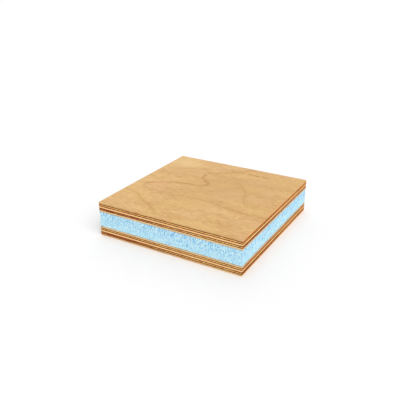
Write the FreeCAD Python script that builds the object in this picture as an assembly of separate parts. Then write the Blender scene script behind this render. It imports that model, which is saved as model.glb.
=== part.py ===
"""Sandwich panel: a rigid foam core bonded between two sheets of five-ply birch plywood.

Millimetres. The panel lies flat. The origin is the centre of its underside, +X runs along the grain of
the face veneers, +Y across it, and +Z is up through the thickness.

Each veneer is a solid of its own, and so is the foam core. They meet face to face, glued all over.
"""

import os

import FreeCAD
import Part

# Outline of the panel, as sawn.
LENGTH = 100.0
WIDTH = 100.0

# Thickness of each layer of a plywood sheet, from its outer face to the core. The face and back
# veneers are sanded, so they end up thinner than the centre veneer.
FACE_VENEER = 1.25
OUTER_CROSSBAND = 1.3
CENTRE_VENEER = 1.4
INNER_CROSSBAND = 1.3
BACK_VENEER = 1.25

# Thickness of the foam core.
FOAM_CORE = 10.0

# How far in from each outer edge of the panel, along both of its faces, a light rub with abrasive
# paper takes off the sharp corner.
ARRIS = 0.2

# Two heights nearer than this are the same height.
HEIGHT_TOLERANCE = 1e-6

OUT_FOLDER = "parts"

# A plywood sheet's layers, in order from its outer face to the core.
SHEET_LAYERS = (
    ("face_veneer", FACE_VENEER),
    ("outer_crossband", OUTER_CROSSBAND),
    ("centre_veneer", CENTRE_VENEER),
    ("inner_crossband", INNER_CROSSBAND),
    ("back_veneer", BACK_VENEER),
)


def named_for(sheet, layers):
    """The layers with the name of the sheet, lower or upper, put in front of theirs."""
    return [(f"{sheet}_{name}", thickness) for name, thickness in layers]


def panel_layers():
    """Every layer of the panel as (name, thickness), from the underside up."""
    lower = named_for("lower", SHEET_LAYERS)
    upper = named_for("upper", reversed(SHEET_LAYERS))
    return lower + [("foam_core", FOAM_CORE)] + upper


def layer_slab(bottom, thickness):
    """A slab of the panel's outline, centred on the Z axis, with its underside at height bottom."""
    corner = FreeCAD.Vector(-LENGTH / 2, -WIDTH / 2, bottom)
    return Part.makeBox(LENGTH, WIDTH, thickness, corner)


def break_outer_edges(slab, face_height):
    """Take the sharp arris off the four edges of the slab that lie at face_height."""
    outer_edges = [edge for edge in slab.Edges if lies_at(edge, face_height)]
    return slab.makeChamfer(ARRIS, outer_edges)


def lies_at(edge, height):
    """True if the whole edge lies at that height."""
    box = edge.BoundBox
    return abs(box.ZMin - height) < HEIGHT_TOLERANCE and abs(box.ZMax - height) < HEIGHT_TOLERANCE


def build_panel():
    """Every layer as {name: solid}, stacked from the underside up."""
    solids = {}
    height = 0.0
    for name, thickness in panel_layers():
        solids[name] = layer_slab(height, thickness)
        height += thickness
    solids["lower_face_veneer"] = break_outer_edges(solids["lower_face_veneer"], 0.0)
    solids["upper_face_veneer"] = break_outer_edges(solids["upper_face_veneer"], height)
    return solids


def main():
    os.makedirs(OUT_FOLDER, exist_ok=True)
    for name, solid in build_panel().items():
        solid.exportStep(os.path.join(OUT_FOLDER, f"{name}.step"))


main()
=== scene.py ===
"""Looks of a plywood and foam sandwich panel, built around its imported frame.

The panel lies flat: +X along the grain of the face veneers, +Y across it, +Z up. Every veneer and the
foam core is a mesh of its own, sized from its frame node. Blender works in metres; sizes named in this
script are in millimetres unless they say otherwise. All relief goes into the material, never out of it.
"""

import math

import bpy
import numpy as np
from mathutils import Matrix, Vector
from mathutils.kdtree import KDTree


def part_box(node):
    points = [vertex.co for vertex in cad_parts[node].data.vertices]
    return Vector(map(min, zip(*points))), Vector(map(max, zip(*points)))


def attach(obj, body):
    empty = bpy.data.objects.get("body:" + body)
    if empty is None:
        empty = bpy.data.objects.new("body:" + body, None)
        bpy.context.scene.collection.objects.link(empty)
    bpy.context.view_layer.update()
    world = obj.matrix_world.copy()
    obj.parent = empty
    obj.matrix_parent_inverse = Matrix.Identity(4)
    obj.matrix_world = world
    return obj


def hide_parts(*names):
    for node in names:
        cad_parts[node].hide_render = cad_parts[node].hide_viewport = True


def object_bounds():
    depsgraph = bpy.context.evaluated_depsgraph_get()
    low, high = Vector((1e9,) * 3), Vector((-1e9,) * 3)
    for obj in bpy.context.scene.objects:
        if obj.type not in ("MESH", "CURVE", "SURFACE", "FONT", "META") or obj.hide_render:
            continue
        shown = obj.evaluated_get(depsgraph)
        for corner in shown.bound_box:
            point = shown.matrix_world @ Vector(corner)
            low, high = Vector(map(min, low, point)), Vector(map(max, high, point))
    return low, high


MM = 0.001

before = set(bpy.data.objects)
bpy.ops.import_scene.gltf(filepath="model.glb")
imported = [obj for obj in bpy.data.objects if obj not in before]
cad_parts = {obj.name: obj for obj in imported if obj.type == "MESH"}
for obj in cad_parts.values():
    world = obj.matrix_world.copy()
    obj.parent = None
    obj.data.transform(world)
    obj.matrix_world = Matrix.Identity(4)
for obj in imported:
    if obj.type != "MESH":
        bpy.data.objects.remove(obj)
cad_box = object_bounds()
panel_low = np.array(cad_box[0]) / MM
panel_high = np.array(cad_box[1]) / MM

# ---------------------------------------------------------------------------------------------------
# Sizes of the finish, in millimetres
# ---------------------------------------------------------------------------------------------------

FACE_GRID = 0.4  # spacing of the points on the faces of the panel
EDGE_GRID = 0.25  # spacing of the points along its sawn edges
ARRIS = 0.2  # how far the rubbed corner reaches in from the outer edges
CORNER_EASE = 0.12  # how far the four upright corners are rubbed back
SAW_LEAN = 0.22  # how far the saw marks lean to the side for each millimetre of height
SAW_BEND = 260  # the height squared over this is how far they bend to the side as well

# Growth lines of the face veneers, each as how strongly it shows, how broad it is next to the finest,
# and the points that it passes through, in millimetres from the middle of the panel.
GROWTH_LINES = (
    (
        1.35,
        0.9,
        (
            (-42.5, -9.5), (-39.5, -5.5), (-34.5, -3), (-25, 1.5), (-17.5, 3),
            (-10.5, 4.5), (-5, 8.5), (-8.5, 13), (-13.5, 17.5), (-14, 23),
        ),
    ),
    (
        0.55,
        1.2,
        (
            (-41.5, -13), (-38.5, -15), (-29, -16.5), (-8.5, -16.5),
            (8.5, -14.5), (19, -17.5), (34.5, -20.5), (50, -19.5),
        ),
    ),
    (
        0.4,
        1.6,
        ((8.5, 24), (16.5, 17.5), (22, 10), (26, 2), (28, -4), (32.5, -8.5), (39.5, -8.5), (50, -10.5)),
    ),
    (
        0.6,
        1.4,
        (
            (-50, -23.5), (-42.5, -24.5), (-35, -27.5), (-29.5, -32.5),
            (-22.5, -36.5), (-15.5, -41.5), (-10.5, -46),
        ),
    ),
    (0.5, 1.6, ((-41.5, 24.5), (-36, 26), (-32, 29), (-25, 32), (-17.5, 33))),
    (0.5, 3.5, ((-13.5, 28), (-6, 32.5), (1, 37.5), (6, 42.5), (9.5, 49))),
    (2.3, 0.65, ((12, 39.5), (14.5, 39), (17, 39), (19, 39.5))),
    (0.7, 0.8, ((19, 39.5), (22, 40), (26, 39))),
)

# Paler and darker areas of the face veneers, each as its middle, its reach and how much paler it is.
TONE_PATCHES = (
    (-38, 38, 17, 0.8),
    (-44, 0, 10, 0.4),
    (-46, -25, 15, 0.3),
    (2, 6, 27, -0.7),
    (35, 25, 23, -0.4),
    (-5, 48, 9, 0.4),
)

# ---------------------------------------------------------------------------------------------------
# Smooth random fields, the same on every run
# ---------------------------------------------------------------------------------------------------

NOISE_TABLE = 256


def smooth_noise(u, v, seed):
    """Random values from 0 to 1 that change smoothly over u and v, with features about 1 across."""
    table = np.random.default_rng(seed).random((NOISE_TABLE, NOISE_TABLE))
    column, row = np.floor(u).astype(int), np.floor(v).astype(int)
    across, up = u - column, v - row
    across = across * across * (3 - 2 * across)
    up = up * up * (3 - 2 * up)

    def corner(i, j):
        return table[(column + i) % NOISE_TABLE, (row + j) % NOISE_TABLE]

    lower = corner(0, 0) * (1 - across) + corner(1, 0) * across
    upper = corner(0, 1) * (1 - across) + corner(1, 1) * across
    return lower * (1 - up) + upper * up


def rough_noise(u, v, seed):
    """Three octaves of smooth_noise, from 0 to 1."""
    total = sum(smooth_noise(u * 2**k, v * 2**k, seed + k) / 2**k for k in range(3))
    return total / 1.75


def ramp(value, start, end):
    """0 up to start, 1 past end, and a smooth rise between."""
    share = np.clip((value - start) / (end - start), 0, 1)
    return share * share * (3 - 2 * share)


# ---------------------------------------------------------------------------------------------------
# Relief of the sawn edges and the sanded faces: depths in millimetres into the material
# ---------------------------------------------------------------------------------------------------


def saw_depth(around, height):
    """Shallow arcs that the saw blade leaves, the same through every layer of the panel."""
    bent = around + SAW_LEAN * height + height**2 / SAW_BEND
    return 0.025 * smooth_noise(bent / 0.9, height / 30, 5) + 0.02 * smooth_noise(bent / 4.5, height / 60, 6)


def end_grain_depth(around, height, seed):
    """Pits where the saw cut across the fibres and pulled some out."""
    pits = ramp(rough_noise(around / 0.8, height / 0.6, seed), 0.5, 0.85)
    tears = ramp(rough_noise(around / 2.6, height / 0.9, seed + 10), 0.62, 0.85)
    return 0.07 * pits + 0.1 * tears


def long_grain_depth(around, height, seed):
    """Fine furrows along the fibres."""
    return 0.03 * rough_noise(around / 5.0, height / 0.3, seed)


def foam_depth(around, height, seed):
    """Sawn foam: upright streaks, opened cells and a few torn spots."""
    lean = around + 0.1 * height
    streaks = rough_noise(lean / 0.7, height / 3.2, seed)
    cells = smooth_noise(lean / 0.45, height / 0.5, seed + 10)
    torn = ramp(rough_noise(around / 1.6, height / 1.6, seed + 20), 0.66, 0.9)
    sway = smooth_noise(around / 17, height / 12, seed + 30)
    return 0.02 + 0.09 * streaks + 0.05 * cells + 0.12 * torn + 0.06 * sway


def joint_groove(height, low, high):
    """A shallow groove where one layer meets the next."""
    from_joint = np.minimum(height - low, high - height)
    return 0.045 * (1 - ramp(from_joint, 0.0, 0.14))


# ---------------------------------------------------------------------------------------------------
# Meshes
# ---------------------------------------------------------------------------------------------------


def edge_ring(inset, per_side):
    """Points round the panel's outline, inset from it, with the outward direction and the distance
    round it at each, starting at the corner of least X and Y and going round by +X first."""
    low, high = panel_low[:2] + inset, panel_high[:2] - inset
    share = np.arange(per_side) / per_side
    run = low + (high - low) * share[:, None]
    back = high - (high - low) * share[:, None]
    places = np.concatenate(
        [
            np.column_stack([run[:, 0], np.full(per_side, low[1])]),
            np.column_stack([np.full(per_side, high[0]), run[:, 1]]),
            np.column_stack([back[:, 0], np.full(per_side, high[1])]),
            np.column_stack([np.full(per_side, low[0]), back[:, 1]]),
        ]
    )
    outward = np.repeat([[0, -1], [1, 0], [0, 1], [-1, 0]], per_side, axis=0).astype(float)
    outward[::per_side] = [[-1, -1], [1, -1], [1, 1], [-1, 1]]
    length = panel_high[0] - panel_low[0]
    around = np.arange(4 * per_side) / per_side * length
    return places, outward, around


def cuts_across(per_side, fibre_axis):
    """1 for each point of a ring on a side that cuts across the fibres, 0 on a side along them."""
    on_x_side = np.repeat([0.0, 1.0, 0.0, 1.0], per_side)
    return on_x_side if fibre_axis == "x" else 1 - on_x_side


def ring_points(height, inset, per_side, depth_at):
    """One ring of an edge: its points, and how deep each lies."""
    places, outward, around = edge_ring(inset, per_side)
    depth = depth_at(around, np.full(len(around), height))
    depth[::per_side] += CORNER_EASE
    points = np.column_stack([places - outward * depth[:, None], np.full(len(places), height)])
    return points, depth


def bands_between_rings(rings, per_ring):
    """Quads that join each ring of points to the one above it."""
    here = np.arange(per_ring)
    after = (here + 1) % per_ring
    base = (np.arange(rings - 1) * per_ring)[:, None]
    quads = np.stack([base + here, base + after, base + per_ring + after, base + per_ring + here], axis=-1)
    return quads.reshape(-1, 4).tolist()


def build_mesh(name, points, faces, fields):
    """A shown piece from its points in millimetres, with one value per point for each named field."""
    mesh = bpy.data.meshes.new(name)
    mesh.from_pydata((np.asarray(points) * MM).tolist(), [], faces)
    for field, values in fields.items():
        mesh.attributes.new(field, "FLOAT", "POINT").data.foreach_set("value", values.astype(np.float32))
    mesh.shade_smooth()
    mesh.set_sharp_from_angle(angle=math.radians(40))
    mesh.validate()
    piece = bpy.data.objects.new(name, mesh)
    bpy.context.scene.collection.objects.link(piece)
    return piece


def layer_heights(low, high):
    """Heights of an inner veneer's rings: close together at its joints, even between."""
    near_joint = 0.07
    middle = np.linspace(low + near_joint, high - near_joint, 6)
    return np.concatenate([[low], middle, [high]])


def inner_layer(name, heights, depth_at):
    """A layer that shows only at the panel's edges: detailed edges, closed by two plain hidden faces."""
    low, high = heights[0], heights[-1]
    per_side = round((panel_high[0] - panel_low[0]) / EDGE_GRID)
    per_ring = 4 * per_side
    rings = [ring_points(height, 0.0, per_side, depth_at) for height in heights]
    faces = bands_between_rings(len(rings), per_ring)
    faces.append(list(range(per_ring))[::-1])
    faces.append(list(range((len(rings) - 1) * per_ring, len(rings) * per_ring)))
    points = np.concatenate([ring[0] for ring in rings])
    fields = {
        "sunk": np.concatenate([ring[1] for ring in rings]),
        "from_joint": np.repeat(np.minimum(heights - low, high - heights), per_ring),
    }
    return build_mesh(name, points, faces, fields)


def veneer_depth(fibre_axis, low, high, seed):
    """The depth function of a veneer's sawn edge: rough on the sides that cut its fibres, furrowed on
    the sides along them."""

    def depth_at(around, height):
        per_side = len(around) // 4
        across = cuts_across(per_side, fibre_axis)
        rough = end_grain_depth(around, height, seed)
        furrowed = long_grain_depth(around, height, seed + 40)
        groove = joint_groove(height, low, high)
        return saw_depth(around, height) + groove + across * rough + (1 - across) * furrowed

    return depth_at


def inner_veneer(node, fibre_axis, seed):
    """A veneer that shows only at the sawn edges."""
    low, high = node_heights(node)
    depth_at = veneer_depth(fibre_axis, low, high, seed)
    return inner_layer(f"{node}_sawn", layer_heights(low, high), depth_at)


def foam_block(node, seed):
    """The foam core, with its torn and sawn edges."""
    low, high = node_heights(node)
    heights = np.linspace(low, high, round((high - low) / EDGE_GRID) + 1)

    def depth_at(around, height):
        return saw_depth(around, height) + foam_depth(around, height, seed)

    return inner_layer(f"{node}_sawn", heights, depth_at)


def node_heights(node):
    """The lowest and highest point of a frame node, in millimetres."""
    low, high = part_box(node)
    return low.z / MM, high.z / MM


def chip_depth(around, seed):
    """Small splinters out of the outer corner, all on the sides that cut the face fibres."""
    across = cuts_across(len(around) // 4, "x")
    chips = ramp(smooth_noise(around / 1.3, around * 0, seed), 0.8, 0.97)
    small = ramp(smooth_noise(around / 0.6, around * 0, seed + 1), 0.75, 0.95)
    return across * (0.16 * chips + 0.07 * small) + 0.02 * small


def sanded_depth(x, y, seed):
    """Fine lines along the grain left by sanding, and open pores."""
    lines = rough_noise(x / 9.0, y / 0.9, seed)
    pores = ramp(smooth_noise(x / 2.2, y / 0.8, seed + 10), 0.72, 0.95)
    return 0.012 * lines + 0.012 * pores


def smooth_path(points, step):
    """Points a step apart or less on a smooth curve through the given points."""
    given = np.array([points[0], *points, points[-1]], float)
    path = []
    for before, start, end, after in zip(given, given[1:], given[2:], given[3:]):
        count = max(2, math.ceil(np.linalg.norm(end - start) / step))
        t = (np.arange(count) / count)[:, None]
        path.append(
            start
            + 0.5 * t * (end - before)
            + t**2 * (before - 2.5 * start + 2 * end - 0.5 * after)
            + t**3 * (1.5 * (start - end) + 0.5 * (after - before))
        )
    return np.concatenate([*path, given[-1:]])


def figure_fields(x, y, turn, seed):
    """For each point of a face: its distance from the nearest growth line over how broad that line is,
    how strongly the line shows, and the tone of the wood. turn is -1 to lay the figure end for end."""
    paths = [smooth_path(points, 0.4) for strength, breadth, points in GROWTH_LINES]
    tree = KDTree(sum(len(path) for path in paths))
    strengths = np.concatenate([np.full(len(path), line[0]) for path, line in zip(paths, GROWTH_LINES)])
    breadths = np.concatenate([np.full(len(path), line[1]) for path, line in zip(paths, GROWTH_LINES)])
    for number, (px, py) in enumerate(np.concatenate(paths)):
        tree.insert((px, py, 0), number)
    tree.balance()
    wander_x = 1.8 * (rough_noise(x / 6, y / 4, seed) - 0.5)
    wander_y = 1.8 * (rough_noise(x / 5, y / 3, seed + 1) - 0.5)
    found = [tree.find((a, b, 0)) for a, b in zip(turn * x + wander_x, turn * y + wander_y)]
    nearest = [hit[1] for hit in found]
    distance = np.array([hit[2] for hit in found]) / breadths[nearest]
    strength = strengths[nearest] * (0.55 + 0.65 * smooth_noise(x / 5, y / 4, seed + 2))
    tone = np.zeros(len(x))
    for middle_x, middle_y, reach, amount in TONE_PATCHES:
        away = ((turn * x - middle_x) ** 2 + (turn * y - middle_y) ** 2) / reach**2
        tone += amount * np.exp(-away)
    return distance, strength, tone


def face_veneer_rings(low, high, per_side, seed):
    """The rings of an outer veneer, up its sawn edge and over its rubbed corner, and how far each is
    from the joint below."""
    edge = veneer_depth("x", low, high + 1.0, seed)
    thickness = high - low
    heights = [0.0, 0.08, 0.35, 0.7, thickness - ARRIS]
    rings = [ring_points(low + height, 0.0, per_side, edge) for height in heights]
    for turn in (30, 60, 90):
        angle = math.radians(turn)
        inset = ARRIS * (1 - math.cos(angle))
        height = high - ARRIS + ARRIS * math.sin(angle)
        fade = math.cos(angle)

        def depth_at(around, at_height, fade=fade):
            return fade * edge(around, at_height) + math.sqrt(fade) * chip_depth(around, seed + 90)

        rings.append(ring_points(height, inset, per_side, depth_at))
    return rings, heights + [thickness] * 3


def face_veneer(node, faces_up, seed):
    """An outer veneer: sanded face, rubbed outer corner and sawn edges. It is built face up, and turned
    over for the underside."""
    low, high = node_heights(node)
    per_side = round((panel_high[0] - panel_low[0]) / FACE_GRID)
    per_ring = 4 * per_side
    rings, heights = face_veneer_rings(low, high, per_side, seed)
    points = np.concatenate([ring[0] for ring in rings])
    sunk = np.concatenate([ring[1] for ring in rings])
    from_joint = np.repeat(heights, per_ring)
    grid, inside = face_grid(len(points) - per_ring, len(points), per_side)
    x, y = inside[:, 0], inside[:, 1]
    points = np.concatenate([points, np.column_stack([x, y, np.full(len(x), high)])])
    distance, strength, tone = figure_fields(points[:, 0], points[:, 1], 1 if faces_up else -1, seed + 70)
    line_depth = 0.012 * strength[-len(x) :] * (1 - ramp(distance[-len(x) :], 0.0, 0.7))
    depth = sanded_depth(x, y, seed + 60) + line_depth
    points[-len(x) :, 2] -= depth
    faces = bands_between_rings(len(rings), per_ring)
    faces += grid
    faces.append(list(range(per_ring))[::-1])
    fields = {
        "sunk": np.concatenate([sunk, depth]),
        "from_joint": np.concatenate([from_joint, np.full(len(x), high - low)]),
        "from_growth_line": distance,
        "growth_line_strength": strength,
        "tone": tone,
    }
    if not faces_up:
        points[:, 2] = low + high - points[:, 2]
        faces = [face[::-1] for face in faces]
    return build_mesh(f"{node}_sanded", points, faces, fields)


def face_grid(ring_start, next_index, per_side):
    """Quads over the face inside the last ring, whose points start at ring_start, and the places of
    the points that they add inside it, numbered from next_index."""
    low, high = panel_low[:2] + ARRIS, panel_high[:2] - ARRIS
    steps = np.arange(1, per_side) / per_side
    columns = low[0] + (high[0] - low[0]) * steps
    rows = low[1] + (high[1] - low[1]) * steps
    x, y = np.meshgrid(columns, rows, indexing="ij")
    index = np.zeros((per_side + 1, per_side + 1), int)
    index[1:-1, 1:-1] = next_index + np.arange((per_side - 1) ** 2).reshape(per_side - 1, per_side - 1)
    ring = ring_start + np.arange(4 * per_side)
    index[:-1, 0] = ring[:per_side]
    index[-1, :-1] = ring[per_side : 2 * per_side]
    index[:0:-1, -1] = ring[2 * per_side : 3 * per_side]
    index[0, :0:-1] = ring[3 * per_side :]
    quads = np.stack([index[:-1, :-1], index[1:, :-1], index[1:, 1:], index[:-1, 1:]], axis=-1)
    return quads.reshape(-1, 4).tolist(), np.column_stack([x.ravel(), y.ravel()])


# ---------------------------------------------------------------------------------------------------
# Shader helpers
# ---------------------------------------------------------------------------------------------------


def srgb(red, green, blue):
    """A colour from 0 to 255 on a screen, as the light it stands for."""
    parts = [value / 255 for value in (red, green, blue)]
    light = [p / 12.92 if p <= 0.04045 else ((p + 0.055) / 1.055) ** 2.4 for p in parts]
    return (*light, 1.0)


def feed(tree, socket, value):
    """Links value to the socket if it is an output, and sets the socket to it if it is plain."""
    if isinstance(value, bpy.types.NodeSocket):
        tree.links.new(value, socket)
    else:
        socket.default_value = value


def add(tree, kind, sockets=None, **settings):
    """A new shader node with these settings, and with each of sockets fed its value."""
    node = tree.nodes.new(kind)
    for name, value in settings.items():
        setattr(node, name, value)
    for name, value in (sockets or {}).items():
        feed(tree, node.inputs[name], value)
    return node


def calculate(tree, operation, *values):
    """The output of a Math node."""
    sockets = dict(enumerate(values))
    return add(tree, "ShaderNodeMath", sockets, operation=operation).outputs[0]


def multiply_vectors(tree, first, second):
    """The output of a Vector Math node that multiplies axis by axis."""
    sockets = {0: first, 1: second}
    return add(tree, "ShaderNodeVectorMath", sockets, operation="MULTIPLY").outputs[0]


def stretch(tree, place, x, y, z):
    """Place divided by a size along each axis, so that one unit of the result is that size."""
    return multiply_vectors(tree, place, (1 / x, 1 / y, 1 / z))


def noise(tree, place, detail=2.0, roughness=0.5):
    """Smooth random values from 0 to 1 with features about 1 unit across."""
    sockets = {"Vector": place, "Scale": 1.0, "Detail": detail, "Roughness": roughness}
    return add(tree, "ShaderNodeTexNoise", sockets).outputs["Fac"]


def between(tree, value, start, end, low=0.0, high=1.0):
    """Low where value is at start, high where it is at end, smooth between and flat beyond."""
    sockets = {"Value": value, "From Min": start, "From Max": end, "To Min": low, "To Max": high}
    return add(tree, "ShaderNodeMapRange", sockets, interpolation_type="SMOOTHSTEP").outputs[0]


def blend_colours(tree, factor, first, second):
    """The colour output of a Mix node, from first at 0 to second at 1."""
    node = add(tree, "ShaderNodeMix", data_type="RGBA", clamp_factor=True)
    for name, value in (("Factor_Float", factor), ("A_Color", first), ("B_Color", second)):
        socket = next(s for s in node.inputs if s.identifier == name)
        feed(tree, socket, value)
    return next(s for s in node.outputs if s.identifier == "Result_Color")


def weigh(tree, first, share, second):
    """share of first and the rest of second."""
    part = calculate(tree, "MULTIPLY", second, 1 - share)
    return calculate(tree, "MULTIPLY_ADD", first, share, part)


def attribute(tree, name):
    """A value stored on the mesh."""
    return add(tree, "ShaderNodeAttribute", attribute_name=name).outputs["Fac"]


def new_group(name, inputs, outputs):
    """A shader node group with these named sockets, as (tree, its inputs, its output node)."""
    tree = bpy.data.node_groups.new(name, "ShaderNodeTree")
    for label, kind, default in inputs:
        socket = tree.interface.new_socket(label, in_out="INPUT", socket_type=f"NodeSocket{kind}")
        if default is not None:
            socket.default_value = default
    for label, kind in outputs:
        tree.interface.new_socket(label, in_out="OUTPUT", socket_type=f"NodeSocket{kind}")
    inside = tree.nodes.new("NodeGroupInput").outputs
    return tree, inside, tree.nodes.new("NodeGroupOutput").inputs


def place_group(tree, group, sockets):
    """The outputs of a node group placed in a material with its own values."""
    node = tree.nodes.new("ShaderNodeGroup")
    node.node_tree = group
    for name, value in sockets.items():
        feed(tree, node.inputs[name], value)
    return node.outputs


# ---------------------------------------------------------------------------------------------------
# Effects that several materials share, as node groups. Place is in millimetres, grain along its X.
# ---------------------------------------------------------------------------------------------------


def make_fibre_group():
    """Wood fibres: light and dark streaks along the grain, open pores, and slow changes of tone."""
    tree, given, result = new_group(
        "wood_fibres",
        [("Place", "Vector", None), ("Streak Length", "Float", 9.0), ("Streak Width", "Float", 0.35)],
        [("Streaks", "Float"), ("Pores", "Float"), ("Tone", "Float")],
    )
    length = calculate(tree, "DIVIDE", 1.0, given["Streak Length"])
    width = calculate(tree, "DIVIDE", 1.0, given["Streak Width"])
    scale = add(tree, "ShaderNodeCombineXYZ", {"X": length, "Y": width, "Z": width}).outputs[0]
    streaked = multiply_vectors(tree, given["Place"], scale)
    tree.links.new(noise(tree, streaked, detail=3.0, roughness=0.6), result["Streaks"])
    pores = noise(tree, stretch(tree, given["Place"], 1.7, 0.16, 0.16), detail=0.0)
    tree.links.new(between(tree, pores, 0.66, 0.76), result["Pores"])
    tree.links.new(noise(tree, stretch(tree, given["Place"], 26, 7, 7), detail=2.0), result["Tone"])
    return tree


def make_saw_group():
    """Saw marks: slanting bent lines down the sawn edges, whichever side of the panel they are on."""
    tree, given, result = new_group(
        "saw_marks",
        [("Place", "Vector", None), ("Spacing", "Float", 0.9)],
        [("Marks", "Float")],
    )
    parts = add(tree, "ShaderNodeSeparateXYZ", {0: given["Place"]}).outputs
    around = calculate(tree, "ADD", parts["X"], parts["Y"])
    leaning = calculate(tree, "MULTIPLY_ADD", parts["Z"], SAW_LEAN, around)
    height_squared = calculate(tree, "POWER", parts["Z"], 2.0)
    bent = calculate(tree, "MULTIPLY_ADD", height_squared, 1 / SAW_BEND, leaning)
    across = calculate(tree, "DIVIDE", bent, given["Spacing"])
    down = calculate(tree, "MULTIPLY", parts["Z"], 0.2)
    line = add(tree, "ShaderNodeCombineXYZ", {"X": across, "Y": down}).outputs[0]
    tree.links.new(noise(tree, line, detail=2.0, roughness=0.6), result["Marks"])
    return tree


def make_dash_group():
    """Slanting light and dark dashes of torn and crushed fibres, where a side cuts across the fibres."""
    tree, given, result = new_group(
        "end_grain",
        [("Place", "Vector", None), ("Spacing", "Float", 0.7)],
        [("Dashes", "Float")],
    )
    parts = add(tree, "ShaderNodeSeparateXYZ", {0: given["Place"]}).outputs
    around = calculate(tree, "ADD", parts["X"], parts["Y"])
    sway = noise(tree, stretch(tree, given["Place"], 2.4, 2.4, 1.3), detail=1.0)
    leaning = calculate(tree, "MULTIPLY_ADD", sway, 2.2, calculate(tree, "ADD", parts["Z"], around))
    leaning = calculate(tree, "DIVIDE", leaning, given["Spacing"])
    down = calculate(tree, "MULTIPLY", parts["Z"], 0.9)
    dash = add(tree, "ShaderNodeCombineXYZ", {"X": leaning, "Y": down}).outputs[0]
    tree.links.new(between(tree, noise(tree, dash, detail=3.0, roughness=0.72), 0.38, 0.62), result["Dashes"])
    return tree


def make_glue_group():
    """Ragged dark glue lines along the joints between layers, and the wood that the glue stained."""
    tree, given, result = new_group(
        "glue_lines",
        [
            ("Place", "Vector", None),
            ("Dashes", "Float", 0.5),
            ("Width", "Float", 0.2),
            ("Breaks", "Float", 0.5),
        ],
        [("Glue", "Float"), ("Stain", "Float")],
    )
    wander = noise(tree, stretch(tree, given["Place"], 1.3, 1.3, 1.0), detail=2.0)
    shift = calculate(tree, "MULTIPLY", calculate(tree, "SUBTRACT", wander, 0.5), 0.3)
    distance = calculate(tree, "ADD", attribute(tree, "from_joint"), shift)
    share = calculate(tree, "DIVIDE", distance, given["Width"])
    gaps = calculate(tree, "MULTIPLY", given["Dashes"], given["Breaks"])
    kept = calculate(tree, "SUBTRACT", 1.0, gaps)
    tree.links.new(calculate(tree, "MULTIPLY", between(tree, share, 1.0, 0.6), kept), result["Glue"])
    mostly_kept = calculate(tree, "MULTIPLY_ADD", gaps, -0.35, 1.0)
    tree.links.new(calculate(tree, "MULTIPLY", between(tree, share, 1.45, 0.8), mostly_kept), result["Stain"])
    return tree


def make_hollow_group():
    """Darkens the colour in the low spots of the relief, as painted shade where those hollows would lie in
    shadow.
    """
    tree, given, result = new_group(
        "shaded_hollows",
        [
            ("Colour", "Color", None),
            ("Shade", "Color", None),
            ("Start", "Float", 0.05),
            ("End", "Float", 0.2),
        ],
        [("Colour", "Color")],
    )
    deep = between(tree, attribute(tree, "sunk"), given["Start"], given["End"])
    tree.links.new(blend_colours(tree, deep, given["Colour"], given["Shade"]), result["Colour"])
    return tree


fibre_group = make_fibre_group()
saw_group = make_saw_group()
dash_group = make_dash_group()
glue_group = make_glue_group()
hollow_group = make_hollow_group()

# ---------------------------------------------------------------------------------------------------
# Materials
# ---------------------------------------------------------------------------------------------------


def new_material(name):
    """An empty material's tree and its Principled shader."""
    material = bpy.data.materials.new(name)
    material.use_nodes = True
    tree = material.node_tree
    return material, tree, tree.nodes["Principled BSDF"]


def place_on_panel(tree):
    """The place on the panel, in millimetres."""
    place = add(tree, "ShaderNodeTexCoord").outputs["Object"]
    return stretch(tree, place, MM, MM, MM)


def turn_to_grain(tree, place, turned):
    """The place with its X along the grain, which takes a quarter turn where the grain runs along Y."""
    if not turned:
        return place
    quarter = {"Vector": place, "Rotation": (0, 0, math.pi / 2)}
    return add(tree, "ShaderNodeMapping", quarter).outputs[0]


def end_grain_mask(tree, turned):
    """1 where the surface cuts across the fibres, 0 where it runs along them."""
    normal = add(tree, "ShaderNodeNewGeometry").outputs["True Normal"]
    parts = add(tree, "ShaderNodeSeparateXYZ", {0: normal}).outputs
    facing = calculate(tree, "ABSOLUTE", parts["Y" if turned else "X"])
    return between(tree, facing, 0.55, 0.8)


def bump(tree, height, strength, distance):
    """The normal of a surface that rises and falls with height, by up to distance in millimetres."""
    sockets = {"Height": height, "Strength": strength, "Distance": distance * MM}
    return add(tree, "ShaderNodeBump", sockets).outputs[0]


GLUE_BROWN = srgb(56, 12, 0)
GLUE_STAIN = srgb(162, 60, 0)
LINE_COLOUR = srgb(188, 132, 64)
# Painted shade for the hollows of the relief.
HOLLOW_SHADE_BROWN = srgb(132, 68, 20)
KNOT_BROWN = srgb(152, 104, 52)


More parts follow.
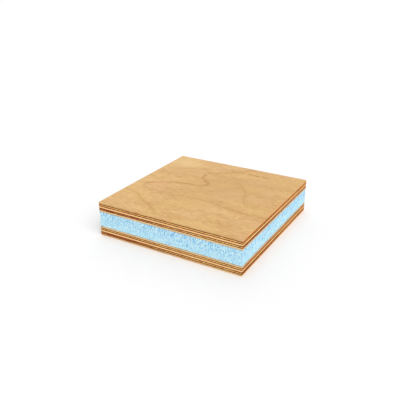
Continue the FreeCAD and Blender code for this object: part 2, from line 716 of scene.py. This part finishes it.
class Wood:
    """A veneer's material as it is built up: its tree, its places and the masks that its colours share."""

    def __init__(self, name, turned=False):
        self.material, self.tree, self.shader = new_material(name)
        self.place = place_on_panel(self.tree)
        self.cut = end_grain_mask(self.tree, turned)
        along_grain = turn_to_grain(self.tree, self.place, turned)
        sizes = {"Place": along_grain, "Streak Length": 4.5, "Streak Width": 0.45}
        self.fibres = place_group(self.tree, fibre_group, sizes)
        self.saw = place_group(self.tree, saw_group, {"Place": self.place, "Spacing": 0.75})["Marks"]
        self.dashes = place_group(self.tree, dash_group, {"Place": self.place, "Spacing": 1.0})["Dashes"]

    def bare_colour(self, long_colours, cut_colours):
        """Bare wood, from its (pale, deep) colours along the fibres and where they are cut across."""
        long_mix = weigh(self.tree, self.fibres["Streaks"], 0.78, self.fibres["Tone"])
        long_mix = between(self.tree, long_mix, 0.4, 0.6)
        cut_mix = weigh(self.tree, self.dashes, 0.7, self.fibres["Streaks"])
        along = blend_colours(self.tree, long_mix, long_colours[1], long_colours[0])
        across = blend_colours(self.tree, cut_mix, cut_colours[1], cut_colours[0])
        return blend_colours(self.tree, self.cut, along, across)

    def finish(self, colour, glue_width, cut_breaks, long_breaks, roughness):
        """Adds what every veneer has: glue lines, painted shade in the hollows and a fibrous sheen."""
        tree = self.tree
        breaks = between(tree, self.cut, 0.0, 1.0, long_breaks, cut_breaks)
        lines = {"Place": self.place, "Dashes": self.dashes, "Width": glue_width, "Breaks": breaks}
        lines = place_group(tree, glue_group, lines)
        colour = blend_colours(tree, calculate(tree, "MULTIPLY", lines["Stain"], 0.85), colour, GLUE_STAIN)
        colour = blend_colours(tree, lines["Glue"], colour, GLUE_BROWN)
        # Painted shade: the colour darkens to a brown in the hollows of the relief.
        hollows = {"Colour": colour, "Shade": HOLLOW_SHADE_BROWN, "Start": 0.13, "End": 0.34}
        colour = place_group(tree, hollow_group, hollows)["Colour"]
        tree.links.new(colour, self.shader.inputs["Base Color"])
        rough = calculate(tree, "MULTIPLY_ADD", self.fibres["Streaks"], 0.2, roughness)
        tree.links.new(rough, self.shader.inputs["Roughness"])
        grain = weigh(tree, self.fibres["Streaks"], 0.5, self.saw)
        tree.links.new(bump(tree, grain, 0.5, 0.05), self.shader.inputs["Normal"])
        self.shader.inputs["Specular IOR Level"].default_value = 0.15
        return self.material


def long_grain_veneer(name, long_colours, cut_colours, glue_width):
    """An inner veneer with its fibres along the panel, the same way as the face veneers."""
    wood = Wood(name)
    colour = wood.bare_colour(long_colours, cut_colours)
    return wood.finish(colour, glue_width, cut_breaks=0.3, long_breaks=0.3, roughness=0.5)


def crossband_veneer(name, long_colours, cut_colours, stain, stain_amount):
    """A veneer with its fibres across the panel. Resin and heartwood stain it, most at one end."""
    wood = Wood(name, turned=True)
    tree = wood.tree
    colour = wood.bare_colour(long_colours, cut_colours)
    parts = add(tree, "ShaderNodeSeparateXYZ", {0: wood.place}).outputs
    on_cut_side = between(tree, parts["X"], -35, 27, 1.0, 0.0)
    on_long_side = between(tree, parts["Y"], -42, 17, 1.0, 0.05)
    fade = add(tree, "ShaderNodeMix", {"Factor": wood.cut, "A": on_long_side, "B": on_cut_side}).outputs[0]
    patchy = between(tree, noise(tree, stretch(tree, wood.place, 5.0, 5.0, 2.0)), 0.3, 0.6, 0.6, 1.0)
    amount = calculate(tree, "MULTIPLY", calculate(tree, "MULTIPLY", fade, patchy), stain_amount)
    colour = blend_colours(tree, amount, colour, stain)
    return wood.finish(colour, glue_width=0.37, cut_breaks=0.42, long_breaks=0.2, roughness=0.55)


def face_material():
    """Sanded bare birch: a honey ground, darker growth lines, paler patches, streaks and fine pores."""
    wood = Wood("face_birch")
    tree = wood.tree
    long_colours = (srgb(231, 190, 132), srgb(204, 156, 94))
    cut_colours = (srgb(244, 188, 114), srgb(214, 150, 78))
    colour = wood.bare_colour(long_colours, cut_colours)
    tone = attribute(tree, "tone")
    colour = blend_colours(tree, between(tree, tone, 0.0, 1.0, 0.0, 0.8), colour, srgb(236, 202, 142))
    colour = blend_colours(tree, between(tree, tone, 0.0, -1.0, 0.0, 0.8), colour, srgb(206, 162, 104))
    pinkness = noise(tree, stretch(tree, wood.place, 17.0, 12.0, 9.0), detail=1.0)
    colour = blend_colours(tree, between(tree, pinkness, 0.5, 0.7, 0.0, 0.28), colour, srgb(227, 180, 134))
    colour = blend_colours(tree, between(tree, pinkness, 0.5, 0.3, 0.0, 0.35), colour, srgb(226, 188, 118))
    wander = noise(tree, stretch(tree, wood.place, 1.1, 0.5, 1.0), detail=2.0)
    wander = calculate(tree, "MULTIPLY_ADD", wander, 1.0, -0.5)
    distance = calculate(tree, "ADD", attribute(tree, "from_growth_line"), wander)
    strength = attribute(tree, "growth_line_strength")
    broad = calculate(tree, "MULTIPLY", between(tree, distance, 2.8, 0.2, 0.0, 0.27), strength)
    fine = calculate(tree, "MULTIPLY", between(tree, distance, 0.72, 0.05, 0.0, 0.72), strength)
    colour = blend_colours(tree, broad, colour, LINE_COLOUR)
    line = blend_colours(tree, between(tree, strength, 1.5, 2.2), LINE_COLOUR, KNOT_BROWN)
    colour = blend_colours(tree, fine, colour, line)
    colour = blend_colours(tree, calculate(tree, "MULTIPLY", wood.fibres["Pores"], 0.35), colour, LINE_COLOUR)
    return wood.finish(colour, glue_width=0.2, cut_breaks=0.6, long_breaks=0.4, roughness=0.48)


def foam_material():
    """Pale blue extruded foam with closed cells, cut open by the saw on its edges, and painted paler towards
    its bottom as if lit from the floor.
    """
    material, tree, shader = new_material("blue_foam")
    place = place_on_panel(tree)
    streaks = noise(tree, stretch(tree, place, 0.42, 0.42, 1.6), detail=1.5, roughness=0.7)
    patches = noise(tree, stretch(tree, place, 2.0, 2.0, 2.6), detail=2.0)
    mix = between(tree, weigh(tree, streaks, 0.92, patches), 0.38, 0.62)
    colour = blend_colours(tree, mix, srgb(106, 184, 238), srgb(212, 252, 255))
    lilac = noise(tree, stretch(tree, place, 0.9, 0.9, 1.2), detail=1.0)
    colour = blend_colours(tree, between(tree, lilac, 0.52, 0.66, 0.0, 0.4), colour, srgb(198, 220, 246))
    flecks = noise(tree, stretch(tree, place, 0.5, 0.5, 0.9), detail=0.0)
    colour = blend_colours(tree, between(tree, flecks, 0.6, 0.7, 0.0, 0.75), colour, srgb(240, 253, 255))
    colour = blend_colours(tree, between(tree, flecks, 0.4, 0.3, 0.0, 0.6), colour, srgb(116, 176, 214))
    # Painted light: the foam is paler towards its bottom, standing in for light thrown up off the white
    # floor.
    height = add(tree, "ShaderNodeSeparateXYZ", {0: place}).outputs["Z"]
    colour = blend_colours(tree, between(tree, height, 16.0, 7.0, 0.0, 0.45), colour, srgb(202, 246, 255))
    # Painted shade: the colour darkens in the hollows of the sawn relief.
    hollows = {"Colour": colour, "Shade": srgb(112, 178, 222), "Start": 0.17, "End": 0.33}
    tree.links.new(place_group(tree, hollow_group, hollows)["Colour"], shader.inputs["Base Color"])
    cells = add(tree, "ShaderNodeTexVoronoi", {"Vector": place, "Scale": 4.0}).outputs["Distance"]
    tree.links.new(bump(tree, cells, 0.4, 0.05), shader.inputs["Normal"])
    shader.inputs["Roughness"].default_value = 0.75
    shader.inputs["Specular IOR Level"].default_value = 0.3
    return material


face_wood = face_material()
pale_crossband_wood = crossband_veneer(
    "pale_crossband_birch",
    long_colours=(srgb(250, 170, 74), srgb(228, 138, 46)),
    cut_colours=(srgb(255, 232, 150), srgb(246, 152, 66)),
    stain=srgb(196, 108, 44),
    stain_amount=0.3,
)
dark_crossband_wood = crossband_veneer(
    "dark_crossband_birch",
    long_colours=(srgb(234, 150, 56), srgb(200, 112, 22)),
    cut_colours=(srgb(255, 230, 148), srgb(216, 130, 50)),
    stain=srgb(146, 42, 0),
    stain_amount=0.9,
)
centre_wood = long_grain_veneer(
    "centre_birch",
    long_colours=(srgb(255, 210, 144), srgb(255, 196, 126)),
    cut_colours=(srgb(255, 214, 140), srgb(255, 194, 114)),
    glue_width=0.22,
)
back_wood = long_grain_veneer(
    "back_birch",
    long_colours=(srgb(242, 208, 154), srgb(228, 188, 130)),
    cut_colours=(srgb(238, 206, 158), srgb(222, 182, 130)),
    glue_width=0.12,
)
foam_finish = foam_material()

# ---------------------------------------------------------------------------------------------------
# Pieces
# ---------------------------------------------------------------------------------------------------


def finish_piece(piece, node, material):
    """Gives a piece its material and ties it to the frame in place of its node."""
    piece.data.materials.append(material)
    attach(piece, "root")
    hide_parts(node)


def build_sheet(sheet, faces_up, outer_crossband, inner_crossband, seed):
    """The five veneers of one plywood sheet."""
    outermost = f"{sheet}_face_veneer"
    finish_piece(face_veneer(outermost, faces_up, seed), outermost, face_wood)
    inner = (
        ("outer_crossband", "y", outer_crossband, "crossband_veneer"),
        ("centre_veneer", "x", centre_wood, "centre_veneer"),
        ("inner_crossband", "y", inner_crossband, "crossband_veneer"),
        ("back_veneer", "x", back_wood, "back_veneer"),
    )
    for number, (layer, fibre_axis, material, slot) in enumerate(inner):
        node = f"{sheet}_{layer}"
        finish_piece(inner_veneer(node, fibre_axis, seed + 100 * (number + 1)), node, material)


build_sheet("upper", True, pale_crossband_wood, dark_crossband_wood, 1000)
build_sheet("lower", False, dark_crossband_wood, pale_crossband_wood, 2000)
finish_piece(foam_block("foam_core", 3000), "foam_core", foam_finish)

# ---------------------------------------------------------------------------------------------------
# Floor, light and camera
# ---------------------------------------------------------------------------------------------------


def seen_directly(tree):
    """1 where the camera sees a surface straight, in a reflection or through glass, else 0."""
    path = add(tree, "ShaderNodeLightPath").outputs
    mirrored = calculate(tree, "MAXIMUM", path["Is Glossy Ray"], path["Is Transmission Ray"])
    return calculate(tree, "MAXIMUM", path["Is Camera Ray"], mirrored)


def make_floor():
    """A plain white floor that reaches far past the panel."""
    half = 3.0
    low = -0.05 * MM
    mesh = bpy.data.meshes.new("floor")
    corners = [(-half, -half, low), (half, -half, low), (half, half, low), (-half, half, low)]
    mesh.from_pydata(corners, [], [(0, 1, 2, 3)])
    floor = bpy.data.objects.new("floor", mesh)
    bpy.context.scene.collection.objects.link(floor)
    material, tree, shader = new_material("floor_white")
    shader.inputs["Base Color"].default_value = (0.97, 0.97, 0.97, 1)
    shader.inputs["Roughness"].default_value = 0.9
    shader.inputs["Specular IOR Level"].default_value = 0.0
    shader.inputs["Emission Color"].default_value = (1, 1, 1, 1)
    tree.links.new(calculate(tree, "MULTIPLY", seen_directly(tree), 0.03), shader.inputs["Emission Strength"])
    mesh.materials.append(material)


def make_world(strength):
    """Even white light from all round, and plain white where the camera or a reflection sees past
    the floor."""
    world = bpy.data.worlds.new("studio")
    bpy.context.scene.world = world
    world.use_nodes = True
    tree = world.node_tree
    background = tree.nodes["Background"]
    background.inputs["Color"].default_value = (1, 1, 1, 1)
    shown = calculate(tree, "MULTIPLY_ADD", seen_directly(tree), 1.0 - strength, strength)
    tree.links.new(shown, background.inputs["Strength"])


def make_lamp(name, azimuth, elevation, spread, strength):
    """A far soft light from a direction given in degrees as the camera's is, spread over an angle in
    degrees. A strength of 1 lights a white surface that faces it to white."""
    data = bpy.data.lights.new(name, "SUN")
    data.angle = math.radians(spread)
    data.energy = strength * math.pi
    lamp = bpy.data.objects.new(name, data)
    lamp.rotation_mode = "QUATERNION"
    lamp.rotation_quaternion = direction_from(azimuth, elevation).to_track_quat("Z", "Y")
    bpy.context.scene.collection.objects.link(lamp)


def direction_from(azimuth, elevation):
    """The direction from the panel towards a viewer. Azimuth 0 is the side of least Y, 90 of most X."""
    a, e = math.radians(azimuth), math.radians(elevation)
    return Vector((math.sin(a) * math.cos(e), -math.cos(a) * math.cos(e), math.sin(e)))


def make_camera(azimuth, elevation, distance, aim_right, aim_up, focal_length):
    """A camera that looks at a point a little beside the panel's middle. Angles in degrees, distances
    in millimetres."""
    middle = Vector((panel_low + panel_high) / 2)
    back = direction_from(azimuth, elevation)
    right = Vector((0, 0, 1)).cross(back).normalized()
    up = back.cross(right)
    data = bpy.data.cameras.new("camera")
    data.lens = focal_length
    data.sensor_width = 36
    data.clip_start = 0.01
    data.clip_end = 20
    camera = bpy.data.objects.new("camera", data)
    camera.location = (middle + back * distance + right * aim_right + up * aim_up) * MM
    camera.rotation_mode = "QUATERNION"
    camera.rotation_quaternion = (-back).to_track_quat("-Z", "Y")
    bpy.context.scene.collection.objects.link(camera)
    bpy.context.scene.camera = camera


make_floor()
make_world(strength=0.6)
make_lamp("key_lamp", azimuth=55, elevation=50, spread=50, strength=0.45)
make_lamp("fill_lamp", azimuth=215, elevation=35, spread=60, strength=0.12)
make_camera(
    azimuth=30.02,
    elevation=24.17,
    distance=351.1,
    aim_right=-4.93,
    aim_up=4.23,
    focal_length=47.58,
)
bpy.context.scene.view_settings.view_transform = "Standard"
